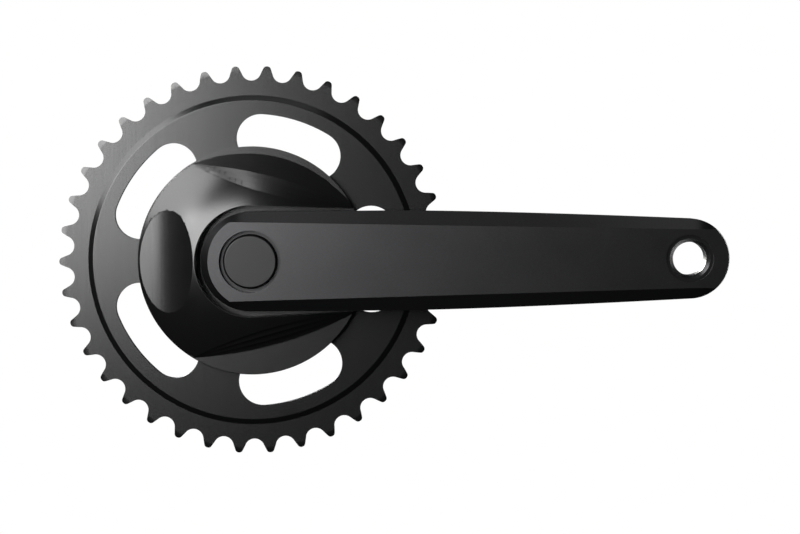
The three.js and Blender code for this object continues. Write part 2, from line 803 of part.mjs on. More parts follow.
function placeBearing(side, direction) {
  const middle = (direction * (bearingOuterSide + bearingInnerSide)) / 2;
  const races = [
    ["inner_race", makeInnerRace(), finishes.bearingSteel()],
    ["outer_race", makeOuterRace(), finishes.bearingSteel()],
    ["ball_set", makeBallSet(), finishes.bearingSteel()],
  ];
  for (const [piece, made, material] of races)
    place(side + "_" + piece, made, material).position.z = middle;
  const seal = direction > 0 ? makeSeal() : makeSeal().mirror([0, 0, 1]);
  place(side + "_seal", seal, finishes.rubber());
}

place("crank_arm", makeCrankArm(), finishes.blackAnodised());
place("chainring", makeChainring(), finishes.ringAnodised());
place("cover", makeCover(), finishes.mouldedPlastic());
place("dust_cap", makeDustCap(), finishes.mouldedPlastic());
place("spider", makeSpider(), finishes.blackAnodised());
place("crank_bolt", makeCrankBolt(), finishes.zincSteel());
place("crank_bolt_washer", makeWasher(), finishes.zincSteel());
place("spindle", makeSpindle(), finishes.spindleSteel());
place("cartridge_sleeve", makeSleeve(), finishes.cupSteel());
place("right_cup", makeCup(shellFace + CUP_FLANGE, CUP_FLANGE_R), finishes.cupSteel());

const leftCup = makeCup(shellFace + LEFT_CUP_PROUD, CUP_THREAD_R).mirror([0, 0, 1]);
place("left_cup", leftCup, finishes.cupSteel());

placeBearing("right", 1);
placeBearing("left", -1);

for (let i = 0; i < ARMS; i++) {
  place("chainring_bolt_" + (i + 1), onBoltCircle(makeChainringBolt(), i), finishes.zincSteel());
  place("chainring_nut_" + (i + 1), onBoltCircle(makeChainringNut(), i), finishes.zincSteel());
}

export default set;
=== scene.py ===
import json
import math

import bpy
import bmesh
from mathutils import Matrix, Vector

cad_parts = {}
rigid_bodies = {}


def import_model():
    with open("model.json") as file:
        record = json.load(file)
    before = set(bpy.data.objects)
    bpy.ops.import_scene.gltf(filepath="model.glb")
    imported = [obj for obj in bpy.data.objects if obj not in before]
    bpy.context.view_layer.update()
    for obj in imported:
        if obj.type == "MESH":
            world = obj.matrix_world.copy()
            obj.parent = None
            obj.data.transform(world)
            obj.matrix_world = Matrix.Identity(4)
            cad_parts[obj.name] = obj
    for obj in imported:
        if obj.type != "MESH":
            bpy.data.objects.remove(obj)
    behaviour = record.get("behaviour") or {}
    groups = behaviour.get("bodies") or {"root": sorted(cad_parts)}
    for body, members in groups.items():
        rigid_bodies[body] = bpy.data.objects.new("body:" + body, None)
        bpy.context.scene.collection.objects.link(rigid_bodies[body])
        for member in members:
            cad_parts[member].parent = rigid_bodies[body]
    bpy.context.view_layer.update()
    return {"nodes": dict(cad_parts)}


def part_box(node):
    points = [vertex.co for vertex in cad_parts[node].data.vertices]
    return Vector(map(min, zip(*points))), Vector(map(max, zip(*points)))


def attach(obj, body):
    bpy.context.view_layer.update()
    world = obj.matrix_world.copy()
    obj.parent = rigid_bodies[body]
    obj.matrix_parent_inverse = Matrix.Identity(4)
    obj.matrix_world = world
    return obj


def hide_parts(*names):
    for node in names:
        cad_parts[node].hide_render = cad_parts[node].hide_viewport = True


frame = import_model()

# ---------------------------------------------------------------------------------------------
# The studio. A long lens looks almost square on at the drive side. A large soft box stands to the
# left of the camera, a second one higher beside the set, a weak one above and two behind. The
# surroundings are dark where they are reflected and white where they are seen.


def hex_colour(code):
    """The linear colour of an sRGB hex code."""
    parts = [int(code[i : i + 2], 16) / 255 for i in (0, 2, 4)]
    linear = [c / 12.92 if c <= 0.04045 else ((c + 0.055) / 1.055) ** 2.4 for c in parts]
    return (*linear, 1.0)


def add_node(tree, kind, settings=None, values=None, links=None):
    """Adds a node with its settings, the values of its sockets and the links into them."""
    node = tree.nodes.new(kind)
    for name, value in (settings or {}).items():
        setattr(node, name, value)
    for socket, value in (values or {}).items():
        node.inputs[socket].default_value = value
    for socket, source in (links or {}).items():
        tree.links.new(source, node.inputs[socket])
    return node


camera_place = Vector((0.0602, -1.1365, 0.0340))
camera_tilt = math.radians(-1.97)
camera_roll = math.radians(0.44)
bpy.ops.object.camera_add(location=camera_place)
camera = bpy.context.object
camera.rotation_euler = (math.pi / 2 + camera_tilt, camera_roll, 0)
camera.data.lens = 119.9
camera.data.sensor_width = 36
bpy.context.scene.camera = camera
bpy.context.scene.view_settings.view_transform = "Standard"


def soft_box(name, place, facing, width, height, power):
    """An area light at a place that shines in one direction. The camera doesn't see it."""
    bpy.ops.object.light_add(type="AREA", location=place)
    light = bpy.context.object
    light.name = name
    light.rotation_euler = Vector(facing).to_track_quat("-Z", "Y").to_euler()
    light.data.shape = "RECTANGLE"
    light.data.size = width
    light.data.size_y = height
    light.data.energy = power
    light.visible_camera = False


soft_box("key_light", (-0.68, -1.15, 0.36), (0, 1, 0), 1.1, 0.8, 25)
soft_box("side_light", (-1.1, -0.62, 0.95), (1.1, 0.6, -0.9), 1.1, 1.1, 22)
soft_box("top_light", (0.1, -0.55, 1.3), (0, 0.55, -1.3), 0.9, 0.4, 0.7)
soft_box("back_light", (-0.6, 1.2, 0.5), (0.5, -1, -0.4), 0.9, 0.9, 24)
soft_box("back_fill", (1.0, 0.9, 0.1), (-1, -0.9, -0.1), 0.8, 0.8, 9)

world = bpy.data.worlds.new("studio")
bpy.context.scene.world = world
world.use_nodes = True
world.node_tree.nodes.clear()
seen = add_node(world.node_tree, "ShaderNodeLightPath").outputs["Is Camera Ray"]
reflected = add_node(
    world.node_tree,
    "ShaderNodeBackground",
    values={"Color": hex_colour("8c8f94"), "Strength": 0.09},
)
white = add_node(
    world.node_tree,
    "ShaderNodeBackground",
    values={"Color": hex_colour("ffffff"), "Strength": 1.0},
)
both = add_node(
    world.node_tree,
    "ShaderNodeMixShader",
    links={0: seen, 1: reflected.outputs[0], 2: white.outputs[0]},
)
add_node(world.node_tree, "ShaderNodeOutputWorld", links={"Surface": both.outputs[0]})

floor_radius = 0.55
floor_level = -0.23  # below the arm's end when it points straight down
bpy.ops.mesh.primitive_circle_add(
    vertices=96, radius=floor_radius, fill_type="NGON", location=(0, 0, floor_level)
)
floor = bpy.context.object
floor.name = "floor"
paper = bpy.data.materials.new("white_paper")
paper.use_nodes = True
paper.node_tree.nodes["Principled BSDF"].inputs["Base Color"].default_value = hex_colour("f2f2f0")
paper.node_tree.nodes["Principled BSDF"].inputs["Roughness"].default_value = 0.9
floor.data.materials.append(paper)
floor.visible_glossy = False  # a dark studio is what the black finishes reflect
floor.visible_diffuse = False

# ---------------------------------------------------------------------------------------------
# Crank arm: a bar of forged aluminium, machined all over, finely blasted and anodised black. Its
# front edge is bevelled, the hub end has a threaded recess for the puller, and the pedal thread is
# cut after the anodising, so it is bare.

MM = 0.001


def alone(piece=None):
    """Leaves edit mode and selects this piece only, or nothing."""
    if bpy.context.object and bpy.context.object.mode == "EDIT":
        bpy.ops.object.mode_set(mode="OBJECT")
    bpy.ops.object.select_all(action="DESELECT")
    if piece:
        piece.select_set(True)
        bpy.context.view_layer.objects.active = piece


def bake_place():
    """Puts the new primitive's place into its mesh, so that its object sits at the origin."""
    bpy.ops.object.transform_apply(location=True, rotation=True, scale=True)
    return bpy.context.object


def select_faces(piece, chosen):
    """In edit mode, selects the faces that pass a test of their middle and normal."""
    mesh = bmesh.from_edit_mesh(piece.data)
    bpy.ops.mesh.select_mode(type="FACE")
    bpy.ops.mesh.select_all(action="DESELECT")
    for face in mesh.faces:
        face.select_set(chosen(face.calc_center_median(), face.normal))
    bmesh.update_edit_mesh(piece.data)


def select_points(piece, chosen):
    """In edit mode, selects the vertices that pass a test of their place."""
    mesh = bmesh.from_edit_mesh(piece.data)
    bpy.ops.mesh.select_mode(type="VERT")
    bpy.ops.mesh.select_all(action="DESELECT")
    for vertex in mesh.verts:
        vertex.select_set(chosen(vertex.co))
    mesh.select_flush(True)
    bmesh.update_edit_mesh(piece.data)


def trace(points, y):
    """A flat face at one y. A point is extruded round its outline [(x, z), ...]."""
    if not (bpy.context.object and bpy.context.object.mode == "EDIT"):
        alone()
    (x, z), *others = points
    bpy.ops.mesh.primitive_circle_add(vertices=3, radius=MM / 100, location=(x, y, z))
    if bpy.context.object.mode != "EDIT":
        bake_place()
        bpy.ops.object.mode_set(mode="EDIT")
        bpy.ops.mesh.select_all(action="SELECT")
    bpy.ops.mesh.select_mode(type="VERT")
    bpy.ops.mesh.merge(type="CENTER")
    for next_x, next_z in others:
        bpy.ops.mesh.extrude_region_move(
            TRANSFORM_OT_translate={"value": (next_x - x, 0, next_z - z)}
        )
        x, z = next_x, next_z
    bpy.ops.mesh.select_linked(delimit=set())
    bpy.ops.mesh.edge_face_add()
    return bpy.context.object


def extrude(dy):
    """Pulls the selected faces along Y."""
    bpy.ops.mesh.extrude_region_move(TRANSFORM_OT_translate={"value": (0, dy, 0)})


def tidy_mesh():
    """Merges doubles, turns all faces outwards and leaves edit mode."""
    bpy.ops.mesh.select_mode(type="VERT")
    bpy.ops.mesh.select_all(action="SELECT")
    bpy.ops.mesh.remove_doubles(threshold=MM / 500)
    bpy.ops.mesh.normals_make_consistent(inside=False)
    bpy.ops.object.mode_set(mode="OBJECT")
    return bpy.context.object


def turned(profile, sides, x=0.0, z=0.0):
    """A piece turned about Y: a circle is extruded and resized along [(radius, y), ...].

    A profile that ends where it starts makes a ring, and any other makes a solid with flat ends.
    """
    alone()
    (r, y), *others = profile
    closed = profile[0] == profile[-1]
    bpy.ops.mesh.primitive_circle_add(
        vertices=sides,
        radius=r,
        fill_type="NOTHING" if closed else "NGON",
        location=(x, y, z),
        rotation=(math.pi / 2, 0, 0),
    )
    bake_place()
    bpy.ops.object.mode_set(mode="EDIT")
    bpy.ops.mesh.select_all(action="SELECT")
    for next_r, next_y in others:
        extrude(next_y - y)
        if next_r != r:
            bpy.ops.transform.resize(
                value=(next_r / r, 1, next_r / r), center_override=(x, next_y, z)
            )
        r, y = next_r, next_y
    return tidy_mesh()


def join_or_cut(piece, tool, operation="DIFFERENCE"):
    """Applies a Boolean with a tool and throws the tool away."""
    alone(piece)
    modifier = piece.modifiers.new("boolean", "BOOLEAN")
    modifier.operation = operation
    modifier.object = tool
    modifier.solver = "EXACT"
    bpy.ops.object.modifier_apply(modifier=modifier.name)
    bpy.data.objects.remove(tool)
    return piece


sliver = 0.04 * MM


def round_edges(piece, width, segments=2, angle=30):
    """Rounds the edges that are sharper than an angle, and shades the rest smooth.

    The slivers that cutting leaves are merged first, because they would stop the rounding.
    """
    alone(piece)
    bpy.ops.object.mode_set(mode="EDIT")
    bpy.ops.mesh.select_all(action="SELECT")
    bpy.ops.mesh.remove_doubles(threshold=sliver)
    bpy.ops.mesh.dissolve_degenerate(threshold=sliver / 4)
    bpy.ops.object.mode_set(mode="OBJECT")
    modifier = piece.modifiers.new("edges", "BEVEL")
    modifier.width = width
    modifier.segments = segments
    modifier.limit_method = "ANGLE"
    modifier.angle_limit = math.radians(angle)
    modifier.use_clamp_overlap = True
    modifier.miter_outer = "MITER_ARC"
    bpy.ops.object.modifier_apply(modifier=modifier.name)
    bpy.ops.object.shade_smooth_by_angle(angle=math.radians(35))
    weighted = piece.modifiers.new("normals", "WEIGHTED_NORMAL")
    weighted.keep_sharp = True
    weighted.weight = 80
    bpy.ops.object.modifier_apply(modifier=weighted.name)


def fit(piece, name, body, slot, material, *nodes):
    """Names a piece, gives it its material, and puts it on its body in place of its CAD nodes."""
    piece.name = name
    piece.data.name = name
    if not piece.data.materials:
        piece.data.materials.append(material)
    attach(piece, body)
    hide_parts(*nodes)
    return piece


def new_material(name):
    """An empty material and its tree, with a shader that is linked to the output."""
    material = bpy.data.materials.new(name)
    material.use_nodes = True
    tree = material.node_tree
    tree.nodes.clear()
    shader = add_node(tree, "ShaderNodeBsdfPrincipled")
    add_node(tree, "ShaderNodeOutputMaterial", links={"Surface": shader.outputs[0]})
    return material, tree, shader


def wire(tree, shader, sources):
    """Links what the patterns give into the shader's sockets."""
    for socket, source in sources.items():
        tree.links.new(source, shader.inputs[socket])


# Blasting leaves a fine even grain, which the dyed oxide makes satin. The grain is drawn 0.5 mm
# across, coarser than real grit, so that it shows.
anodised_blasted, tree, shader = new_material("black_anodised_blasted_aluminium")
shader.inputs["Metallic"].default_value = 0.95
grain_size = 0.5 * MM
place = add_node(tree, "ShaderNodeTexCoord").outputs["Object"]
grain = add_node(
    tree,
    "ShaderNodeTexNoise",
    values={"Scale": 1 / grain_size, "Detail": 3.0, "Roughness": 0.6},
    links={"Vector": place},
).outputs["Fac"]
clouds = add_node(
    tree,
    "ShaderNodeTexNoise",
    values={"Scale": 1 / (14 * MM), "Detail": 2.0},
    links={"Vector": place},
).outputs["Fac"]
tone = add_node(
    tree,
    "ShaderNodeMix",
    {"data_type": "RGBA"},
    {6: hex_colour("3a3a3b"), 7: hex_colour("484849")},
    {0: grain},
).outputs[2]
rough = add_node(
    tree,
    "ShaderNodeMapRange",
    values={"To Min": 0.27, "To Max": 0.31},
    links={"Value": clouds},
).outputs[0]
bump = add_node(
    tree,
    "ShaderNodeBump",
    values={"Strength": 0.12, "Distance": 0.05 * MM},
    links={"Height": grain},
).outputs[0]
wire(tree, shader, {"Base Color": tone, "Roughness": rough, "Normal": bump})

# A thread cut in bare aluminium is bright, with fine rings from the tap.
bare_aluminium, tree, shader = new_material("bare_tapped_aluminium")
shader.inputs["Metallic"].default_value = 1.0
shader.inputs["Base Color"].default_value = hex_colour("e2e2e0")
tool_mark = 0.12 * MM
place = add_node(tree, "ShaderNodeTexCoord").outputs["Object"]
rings = add_node(
    tree,
    "ShaderNodeTexWave",
    {"bands_direction": "Y"},
    {"Scale": 0.05 / tool_mark, "Distortion": 0.6, "Detail": 2.0},
    {"Vector": place},
).outputs["Fac"]
rough = add_node(
    tree, "ShaderNodeMapRange", values={"To Min": 0.22, "To Max": 0.4}, links={"Value": rings}
).outputs[0]
bump = add_node(
    tree,
    "ShaderNodeBump",
    values={"Strength": 0.2, "Distance": 0.02 * MM},
    links={"Height": rings},
).outputs[0]
wire(tree, shader, {"Roughness": rough, "Normal": bump})

arm_low, arm_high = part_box("crank_arm")
hub_half = -arm_low.x
eye_half = 16 * MM
crank_length = arm_high.x - eye_half
parallel_length = 60 * MM
boss_start = arm_high.y
boss_radius = 17 * MM
arm_back = -58.5 * MM
arm_front = -74.5 * MM
face_lean = math.atan(4 * MM / crank_length)  # the face comes forward towards the pedal
back_lean = math.atan(7 * MM / crank_length)
bevel_depth = 3 * MM
face_half_at_hub = 15.7 * MM
face_half_at_eye = 11.7 * MM
hub_bevel_radius = 18.5 * MM
hub_bevel_centre = 1.6 * MM
eye_edge = 0.5 * MM


def side_half(x):
    """Half the arm's width at a distance from the crank axis."""
    share = max(0.0, (x - parallel_length) / (crank_length - parallel_length))
    return hub_half - (hub_half - eye_half) * share**1.4


def face_half(x):
    """Half the width of the face between the two bevels."""
    return face_half_at_hub + (face_half_at_eye - face_half_at_hub) * x / crank_length


def spread(start, end, count):
    """Evenly spaced values from start up to, but without, end."""
    return [start + (end - start) * i / count for i in range(count)]


def arm_outlines():
    """The arm's outer outline and the outline of its front face, point for point."""
    corner_height = math.sqrt(hub_bevel_radius**2 - face_half_at_hub**2)
    corner_x = hub_bevel_centre - corner_height
    hub_corner = math.acos(corner_x / hub_half)
    bevel_corner = math.pi - math.asin(face_half_at_hub / hub_bevel_radius)
    eye_corner = math.asin(face_half_at_eye / eye_half)
    outer, face = [], []
    for angle in spread(math.pi / 2, hub_corner, 6):
        x = hub_half * math.cos(angle)
        outer.append((x, hub_half * math.sin(angle)))
        face.append((x, face_half(x)))
    turns = spread(hub_corner, 2 * math.pi - hub_corner, 44)
    inner_turns = spread(bevel_corner, 2 * math.pi - bevel_corner, 44)
    for angle, inner in zip(turns, inner_turns):
        outer.append((hub_half * math.cos(angle), hub_half * math.sin(angle)))
        face.append(
            (
                hub_bevel_centre + hub_bevel_radius * math.cos(inner),
                hub_bevel_radius * math.sin(inner),
            )
        )
    for angle in spread(2 * math.pi - hub_corner, 1.5 * math.pi, 6):
        x = hub_half * math.cos(angle)
        outer.append((x, hub_half * math.sin(angle)))
        face.append((x, -face_half(x)))
    for x in spread(0, crank_length, 16):
        outer.append((x, -side_half(x)))
        face.append((x, -face_half(x)))
    for angle in spread(-math.pi / 2, -eye_corner, 8):
        x = crank_length + eye_half * math.cos(angle)
        outer.append((x, eye_half * math.sin(angle)))
        face.append((x - eye_edge * math.cos(angle), -face_half(crank_length)))
    for angle in spread(-eye_corner, eye_corner, 28):
        x = math.cos(angle)
        z = math.sin(angle)
        outer.append((crank_length + eye_half * x, eye_half * z))
        face.append((crank_length + (eye_half - eye_edge) * x, (eye_half - eye_edge) * z))
    for angle in spread(eye_corner, math.pi / 2, 8):
        x = crank_length + eye_half * math.cos(angle)
        outer.append((x, eye_half * math.sin(angle)))
        face.append((x - eye_edge * math.cos(angle), face_half(crank_length)))
    for x in spread(crank_length, 0, 16):
        outer.append((x, side_half(x)))
        face.append((x, face_half(x)))
    return outer, face


outer, face = arm_outlines()
shoulder = arm_front + bevel_depth
arm = trace(outer, arm_back)
extrude(shoulder - arm_back)
trace(face, arm_front)
select_faces(arm, lambda middle, normal: middle.y < shoulder + MM / 10 and abs(normal.y) > 0.9)
bpy.ops.mesh.bridge_edge_loops()
select_points(arm, lambda point: point.y < arm_front + MM / 10)
bpy.ops.mesh.edge_face_add()
select_points(arm, lambda point: point.y < shoulder + MM / 10)
bpy.ops.transform.rotate(
    value=face_lean, orient_axis="Z", orient_type="GLOBAL", center_override=(0, arm_front, 0)
)
select_points(arm, lambda point: point.y > arm_back - MM / 10 and point.x > 0)
bpy.ops.transform.rotate(
    value=back_lean, orient_axis="Z", orient_type="GLOBAL", center_override=(0, arm_back, 0)
)
arm = tidy_mesh()

boss_chamfer = 1.2 * MM
boss_root = 1.5 * MM
boss = turned(
    [
        (boss_radius - boss_chamfer, boss_start),
        (boss_radius, boss_start - boss_chamfer),
        (boss_radius, arm_back + boss_root),
        (boss_radius + 0.3 * boss_root, arm_back + 0.3 * boss_root),
        (boss_radius + boss_root, arm_back),
        (boss_radius + boss_root, arm_back - MM),
    ],
    96,
)
join_or_cut(arm, boss, "UNION")


def thread(radius, start, end, pitch, depth):
    """Profile points of a fine thread's crests and roots between two places along Y."""
    turns = max(1, round(abs(end - start) / pitch))
    points = []
    for turn in range(turns):
        y = start + (end - start) * turn / turns
        half = (end - start) / turns / 2
        points += [(radius, y), (radius - depth, y + half)]
    return points + [(radius, end)]


recess_radius = 11 * MM
mouth_radius = 12.4 * MM
mouth_floor = arm_front + 4 * MM
recess_floor = arm_front + 12.5 * MM
recess = turned(
    [
        (recess_radius, recess_floor),
        *thread(recess_radius, recess_floor - MM, mouth_floor, MM, 0.4 * MM),
        (mouth_radius, mouth_floor),
        (mouth_radius, arm_front - 5 * MM),
    ],
    120,
)
join_or_cut(arm, recess)

square_end = 12.65 * MM
square_taper = math.radians(2)
spindle_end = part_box("spindle")[1].y


def square_across(y):
    """Width of the spindle's square at a distance from its end, on either side."""
    return square_end + 2 * (spindle_end - abs(y)) * math.tan(square_taper)


def square_taper_piece(start, end, play):
    """A four-sided frustum along Y."""
    alone()
    bpy.ops.mesh.primitive_cone_add(
        vertices=4,
        radius1=(square_across(start) / 2 + play) * math.sqrt(2),
        radius2=(square_across(end) / 2 + play) * math.sqrt(2),
        depth=abs(end - start),
        location=(0, (start + end) / 2, 0),
        rotation=(math.pi / 2 if end < start else -math.pi / 2, 0, 0),
    )
    piece = bake_place()
    bpy.ops.object.mode_set(mode="EDIT")
    bpy.ops.mesh.select_all(action="SELECT")
    bpy.ops.transform.rotate(
        value=math.pi / 4, orient_axis="Y", orient_type="GLOBAL", center_override=(0, 0, 0)
    )
    tidy_mesh()
    return piece


join_or_cut(arm, square_taper_piece(boss_start + MM, recess_floor - MM, 0.3 * MM))

pedal_radius = 6.65 * MM
pedal_chamfer = 1.4 * MM
pedal_face_radius = 9.4 * MM
pedal_face = arm_low.y + 1.05 * MM
pedal_thread_end = -65.8 * MM
pedal_thread_pitch = 1.27 * MM
pedal_thread_depth = 0.35 * MM
pedal_cut = turned(
    [
        (pedal_radius + pedal_chamfer, arm_back + MM),
        (pedal_radius + pedal_chamfer, pedal_thread_end + 1.2 * MM),
        *thread(
            pedal_radius,
            pedal_thread_end,
            pedal_face + pedal_chamfer,
            pedal_thread_pitch,
            -pedal_thread_depth,
        ),
        (pedal_radius + pedal_chamfer, pedal_face),
        (pedal_face_radius, pedal_face),
        (pedal_face_radius, arm_low.y - 5 * MM),
    ],
    96,
    x=crank_length,
)
join_or_cut(arm, pedal_cut)
round_edges(arm, 0.35 * MM, 3, 18)

arm.data.materials.append(anodised_blasted)
arm.data.materials.append(bare_aluminium)
alone(arm)
bpy.ops.object.mode_set(mode="EDIT")
bore_outside = pedal_radius + 0.4 * MM
select_faces(
    arm,
    lambda middle, normal: math.hypot(middle.x - crank_length, middle.z) < bore_outside
    and middle.y > pedal_face + pedal_chamfer
    and abs(normal.y) < 0.95,
)
arm.active_material_index = 1
bpy.ops.object.material_slot_assign()
bpy.ops.object.mode_set(mode="OBJECT")
fit(arm, "arm", "crank", "arm_anodised", anodised_blasted, "crank_arm")

# ---------------------------------------------------------------------------------------------
# Chainring: cut from aluminium plate, turned down to the width of the chain outside the step,
# milled round the teeth and slots, brushed up and down and anodised black.

# Brushing leaves fine upright streaks under the dyed oxide, and a smoother shine than blasting. The
# streaks are drawn 0.35 mm wide, coarser than real ones, so that they show.
chainring_anodised, tree, shader = new_material("black_anodised_brushed_aluminium")
shader.inputs["Metallic"].default_value = 0.95
brush_width = 0.35 * MM
brush_length = 30 * MM
place = add_node(tree, "ShaderNodeTexCoord").outputs["Object"]
stretched = add_node(
    tree,
    "ShaderNodeMapping",
    values={"Scale": (1 / brush_width, 1 / brush_width, 1 / brush_length)},
    links={"Vector": place},
).outputs[0]
brushing = add_node(
    tree,
    "ShaderNodeTexNoise",
    values={"Scale": 1.0, "Detail": 3.0, "Roughness": 0.55},
    links={"Vector": stretched},
).outputs["Fac"]
grain = add_node(
    tree,
    "ShaderNodeTexNoise",
    values={"Scale": 1 / (0.4 * MM), "Detail": 2.0},
    links={"Vector": place},
).outputs["Fac"]
tone = add_node(
    tree,
    "ShaderNodeMix",
    {"data_type": "RGBA"},
    {6: hex_colour("393939"), 7: hex_colour("474747")},
    {0: brushing},
).outputs[2]
rough = add_node(
    tree, "ShaderNodeMapRange", values={"To Min": 0.20, "To Max": 0.25}, links={"Value": grain}
).outputs[0]
bump = add_node(
    tree,
    "ShaderNodeBump",
    values={"Strength": 0.1, "Distance": 0.03 * MM},
    links={"Height": brushing},
).outputs[0]
wire(tree, shader, {"Base Color": tone, "Roughness": rough, "Normal": bump})

ring_low, ring_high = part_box("chainring")
teeth = 38
chain_pitch = 12.7 * MM
pitch_radius = chain_pitch / 2 / math.sin(math.pi / teeth)
seat_radius = 4.1 * MM
seat_centre_radius = pitch_radius + 0.2 * MM
root_radius = seat_centre_radius - seat_radius
tip_radius = root_radius + 6 * MM
tip_half = 1.45 * MM
tip_rounding = 0.8 * MM
seat_reach = math.radians(72)
plate_back = ring_high.y
plate_front = plate_back - 2.1 * MM
web_front = ring_low.y
step_outer = root_radius - 5.9 * MM
step_inner = step_outer - 2.3 * MM


def tooth_points():
    """The outline of all the teeth, with a roller seat after each."""
    points = []
    for tooth in range(teeth):
        middle = 2 * math.pi * tooth / teeth
        for share in (-1, -0.9, -0.7, -0.35, 0, 0.35, 0.7, 0.9, 1):
            radius = tip_radius - tip_rounding * abs(share) ** 3
            angle = middle + share * tip_half / tip_radius
            points.append((radius * math.cos(angle), radius * math.sin(angle)))
        seat = middle + math.pi / teeth
        for turn in spread(-seat_reach, seat_reach * 1.0001, 12):
            angle = seat + math.pi - turn
            points.append(
                (
                    seat_centre_radius * math.cos(seat) + seat_radius * math.cos(angle),
                    seat_centre_radius * math.sin(seat) + seat_radius * math.sin(angle),
                )
            )
    return points


chainring = trace(tooth_points(), plate_back)
extrude(plate_front - plate_back)
tidy_mesh()
chamfer_radius = tip_radius - 2.6 * MM
tip_thinning = 0.6 * MM
tooth_section = turned(
    [
        (chamfer_radius, plate_back + MM / 10),
        (chamfer_radius + MM / 10, plate_back),
        (tip_radius + MM / 10, plate_back - tip_thinning),
        (tip_radius + MM / 10, plate_front + tip_thinning),
        (chamfer_radius + MM / 10, plate_front),
        (chamfer_radius, plate_front - MM / 10),
    ],
    8 * teeth,
)
join_or_cut(chainring, tooth_section, "INTERSECT")
ring_bore = 31 * MM
step_round = 0.35 * MM
web = turned(
    [
        (step_outer, (plate_back + plate_front) / 2),
        (step_outer, plate_front - step_round / 3),
        (step_outer - step_round, plate_front - step_round),
        (step_inner + step_round, web_front + step_round / 2),
        (step_inner, web_front),
    ],
    304,
)
join_or_cut(chainring, web, "UNION")
bore = turned([(ring_bore, plate_back + MM), (ring_bore, web_front - MM)], 192)
join_or_cut(chainring, bore)

slot_inner = 39.9 * MM
slot_outer = 59.5 * MM
slot_middle = (slot_inner + slot_outer) / 2
slot_end = (slot_outer - slot_inner) / 2
slot_reach = math.radians(13.9)
arms = 5


def slot_points():
    """A kidney outline round +X, with full round ends."""
    points = []
    for angle in spread(-slot_reach, slot_reach, 20):
        points.append((slot_outer * math.cos(angle), slot_outer * math.sin(angle)))
    for side in (1, -1):
        end_x = slot_middle * math.cos(slot_reach)
        end_z = side * slot_middle * math.sin(slot_reach)
        first = slot_reach if side > 0 else math.pi - slot_reach
        for turn in spread(first, first + math.pi, 24):
            points.append((end_x + slot_end * math.cos(turn), end_z + slot_end * math.sin(turn)))
        if side > 0:
            for angle in spread(slot_reach, -slot_reach, 16):
                points.append((slot_inner * math.cos(angle), slot_inner * math.sin(angle)))
    return points


def turn_about_axis(piece, angle):
    """Turns a mesh about the crank axis, anticlockwise as seen from the drive side."""
    alone(piece)
    piece.rotation_euler = (0, -angle, 0)
    bpy.ops.object.transform_apply(location=False, rotation=True, scale=False)
    return piece


bolt_circle = 37 * MM
barrel_hole = 5.1 * MM
for i in range(arms):
    trace(slot_points(), plate_back + MM)
    extrude(web_front - plate_back - 2 * MM)
    slot_tool = turn_about_axis(tidy_mesh(), 2 * math.pi * i / arms)
    join_or_cut(chainring, slot_tool)
    angle = 2 * math.pi * (i + 0.5) / arms
    hole = turned(
        [(barrel_hole, plate_back + MM), (barrel_hole, web_front - MM)],
        48,
        bolt_circle * math.cos(angle),
        bolt_circle * math.sin(angle),
    )
    join_or_cut(chainring, hole)
round_edges(chainring, 0.22 * MM, 2, 35)
fit(
    chainring, "toothed_ring", "crank", "chainring_anodised", chainring_anodised, "chainring"
)

# ---------------------------------------------------------------------------------------------
# Cover: one moulding in black semi-gloss plastic, a shallow dome with a hollow behind it. A
# channel with a thin floor lets the arm through, a thumb-shaped scoop faces it, and two crescents
# step down to the rim. It snaps over the spider's arms, by hooks that are left out here.

# A polished mould gives an even semi-gloss black with a very faint orange peel.
moulded_plastic, tree, shader = new_material("black_moulded_plastic")
shader.inputs["Base Color"].default_value = hex_colour("0a0a0a")
shader.inputs["IOR"].default_value = 1.6
place = add_node(tree, "ShaderNodeTexCoord").outputs["Object"]
flow = add_node(
    tree,
    "ShaderNodeTexNoise",
    values={"Scale": 1 / (9 * MM), "Detail": 2.0, "Distortion": 0.4},
    links={"Vector": place},
).outputs["Fac"]
texture = add_node(
    tree,
    "ShaderNodeTexNoise",
    values={"Scale": 1 / (0.35 * MM), "Detail": 2.0},
    links={"Vector": place},
).outputs["Fac"]
rough = add_node(
    tree, "ShaderNodeMapRange", values={"To Min": 0.22, "To Max": 0.26}, links={"Value": flow}
).outputs[0]
bump = add_node(
    tree,
    "ShaderNodeBump",
    values={"Strength": 0.06, "Distance": 0.03 * MM},
    links={"Height": texture},
).outputs[0]
wire(tree, shader, {"Roughness": rough, "Normal": bump})

cover_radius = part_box("cover")[1].z
cover_wall = 1.7 * MM
spider_front = -57.1 * MM
spider_back = -53.1 * MM
cover_base = spider_front - 0.3 * MM
rim_front = spider_front - 2.4 * MM
crescent_floor = spider_front - 2.1 * MM
dome_radius = 78 * MM
dome_centre = rim_front + math.sqrt(dome_radius**2 - cover_radius**2)
pocket_radius = 22.5 * MM
channel_half = 20.6 * MM
floor_bore = 19.1 * MM
floor_front = cover_base - 0.8 * MM
scoop_radius = 45 * MM
above_all = -90 * MM


def dome_at(radius):
    """Where the dome's surface lies along Y at a distance from the crank axis."""
    return dome_centre - math.sqrt(dome_radius**2 - radius**2)


def dome(inset, base, lip):
    """The dome-shaped body, from the base to its surface or to one inset behind it."""
    outer_radius = cover_radius - inset
    edge = outer_radius - lip
    profile = [(outer_radius, base), (outer_radius, dome_at(edge) + inset + 1.8 * lip)]
    for radius in spread(edge, 0, 44):
        profile.append((radius, dome_at(radius) + inset))
    return turned(profile, 256)


